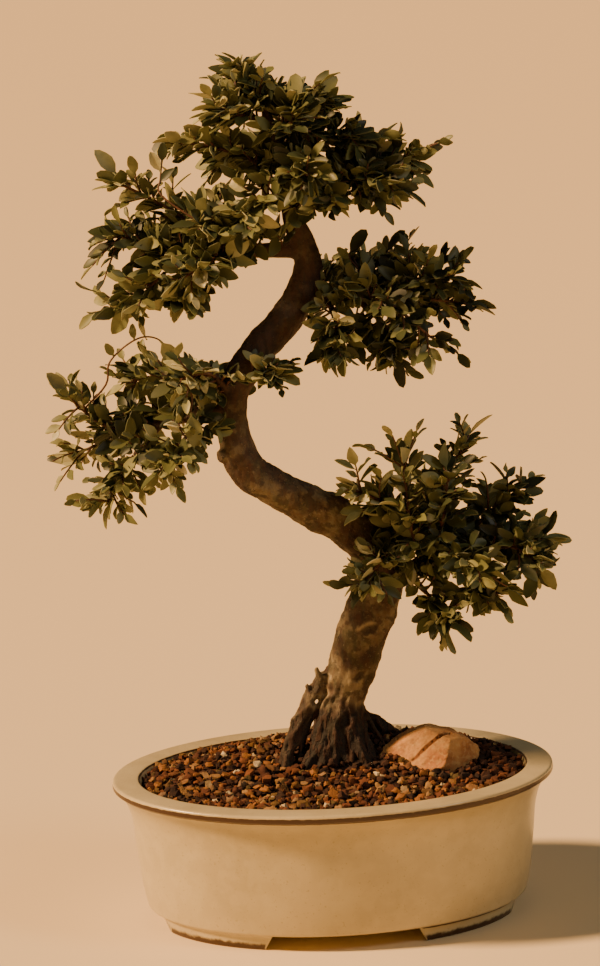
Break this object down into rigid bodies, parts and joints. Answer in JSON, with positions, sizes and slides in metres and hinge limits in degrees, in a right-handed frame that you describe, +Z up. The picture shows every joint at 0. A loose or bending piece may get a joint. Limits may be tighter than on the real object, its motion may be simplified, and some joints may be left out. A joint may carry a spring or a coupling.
{
  "type": "bonsai tree in a pot",
  "caption": "Chinese elm bonsai with a curved trunk, tiered leafy pads, exposed roots, granular soil and a stone, standing in an oval glazed pot.",
  "frame": {"origin": "on the surface the pot stands on, under the middle of the whole plant and pot", "axes": "+Z up, X along the pot's long side, the tree's front faces -Y"},
  "size_m": [0.2382, 0.154, 0.3995],
  "materials": {
    "glaze": "satin",
    "screen": "matte",
    "soil": "matte",
    "stone": "matte",
    "bark": "matte",
    "leaf": "satin"
  },
  "bodies": {
    "root": {"pot": "glaze", "drain_screen_left": "screen", "drain_screen_right": "screen", "soil": "soil", "stone": "stone", "trunk": "bark", "spray_low_01": "leaf", "spray_low_02": "leaf", "spray_low_03": "leaf", "spray_low_04": "leaf", "spray_low_05": "leaf", "spray_low_06": "leaf", "spray_low_07": "leaf", "spray_low_08": "leaf", "spray_low_09": "leaf", "spray_low_10": "leaf", "spray_low_11": "leaf", "spray_low_12": "leaf", "spray_low_13": "leaf", "spray_left_01": "leaf", "spray_left_02": "leaf", "spray_left_03": "leaf", "spray_left_04": "leaf", "spray_left_05": "leaf", "spray_left_06": "leaf", "spray_left_07": "leaf", "spray_left_08": "leaf", "spray_right_01": "leaf", "spray_right_02": "leaf", "spray_right_03": "leaf", "spray_right_04": "leaf", "spray_right_05": "leaf", "spray_right_06": "leaf", "spray_right_07": "leaf", "spray_right_08": "leaf", "spray_upper_01": "leaf", "spray_upper_02": "leaf", "spray_upper_03": "leaf", "spray_upper_04": "leaf", "spray_upper_05": "leaf", "spray_upper_06": "leaf", "spray_upper_07": "leaf", "spray_upper_08": "leaf", "spray_crown_01": "leaf", "spray_crown_02": "leaf", "spray_crown_03": "leaf", "spray_crown_04": "leaf", "spray_crown_05": "leaf", "spray_crown_06": "leaf", "spray_crown_07": "leaf", "spray_crown_08": "leaf", "spray_crown_09": "leaf", "spray_crown_10": "leaf", "spray_crown_11": "leaf", "spray_crown_12": "leaf", "spray_crown_13": "leaf", "spray_crown_14": "leaf", "spray_crown_15": "leaf"}
  },
  "joints": []
}
